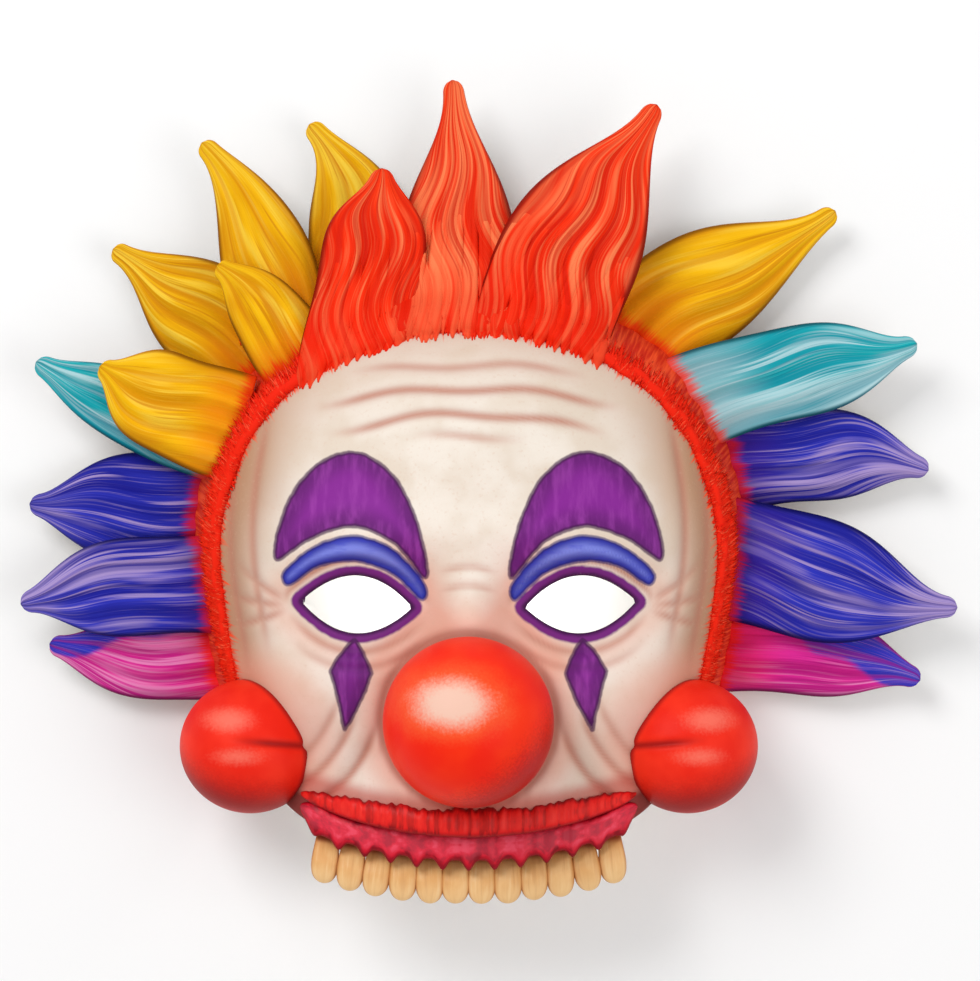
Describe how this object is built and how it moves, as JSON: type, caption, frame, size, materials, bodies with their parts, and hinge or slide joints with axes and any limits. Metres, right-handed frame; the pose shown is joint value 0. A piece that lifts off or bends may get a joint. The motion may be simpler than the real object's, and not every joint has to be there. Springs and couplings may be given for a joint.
{
  "type": "clown mask",
  "caption": "Moulded foam clown half mask with a ball nose, round cheek pads, a row of teeth and flame-shaped coloured hair, open at the back and at the eyes.",
  "frame": {"origin": "under the middle of the mask's box, on the plane of its flat rim", "axes": "+X to the viewer's right, +Y from the mouth to the crown, +Z out of the front of the face"},
  "size_m": [0.2808, 0.2454, 0.0923],
  "materials": {
    "skin": "matte printed foam with airbrushed shading and make-up",
    "nose": "satin printed foam with an airbrushed highlight",
    "cheek": "satin printed foam with airbrushed shading",
    "lip": "satin printed foam",
    "gum": "satin printed foam",
    "tooth": "satin printed foam",
    "hair_red": "matte printed foam with light streaks",
    "hair_yellow": "matte printed foam with darker grooves",
    "hair_teal": "matte printed foam with pale streaks",
    "hair_blue": "matte printed foam with lavender streaks",
    "hair_pink": "matte printed foam with pale streaks"
  },
  "bodies": {
    "root": {"face_shell": "skin", "nose": "nose", "cheek_left": "cheek", "cheek_right": "cheek", "upper_lip": "lip", "gum": "gum", "tooth_01": "tooth", "tooth_02": "tooth", "tooth_03": "tooth", "tooth_04": "tooth", "tooth_05": "tooth", "tooth_06": "tooth", "tooth_07": "tooth", "tooth_08": "tooth", "tooth_09": "tooth", "tooth_10": "tooth", "tooth_11": "tooth", "tooth_12": "tooth", "hairline_roll": "hair_red", "hair_pink_left": "hair_pink", "hair_blue_left_low": "hair_blue", "hair_blue_left_high": "hair_blue", "hair_teal_left": "hair_teal", "hair_yellow_left_low": "hair_yellow", "hair_yellow_left_mid": "hair_yellow", "hair_yellow_left_front": "hair_yellow", "hair_yellow_left_high": "hair_yellow", "hair_yellow_left_top": "hair_yellow", "hair_red_left": "hair_red", "hair_red_middle": "hair_red", "hair_red_right": "hair_red", "hair_yellow_right": "hair_yellow", "hair_teal_right": "hair_teal", "hair_blue_right_high": "hair_blue", "hair_blue_right_low": "hair_blue", "hair_pink_right": "hair_pink"}
  },
  "joints": []
}
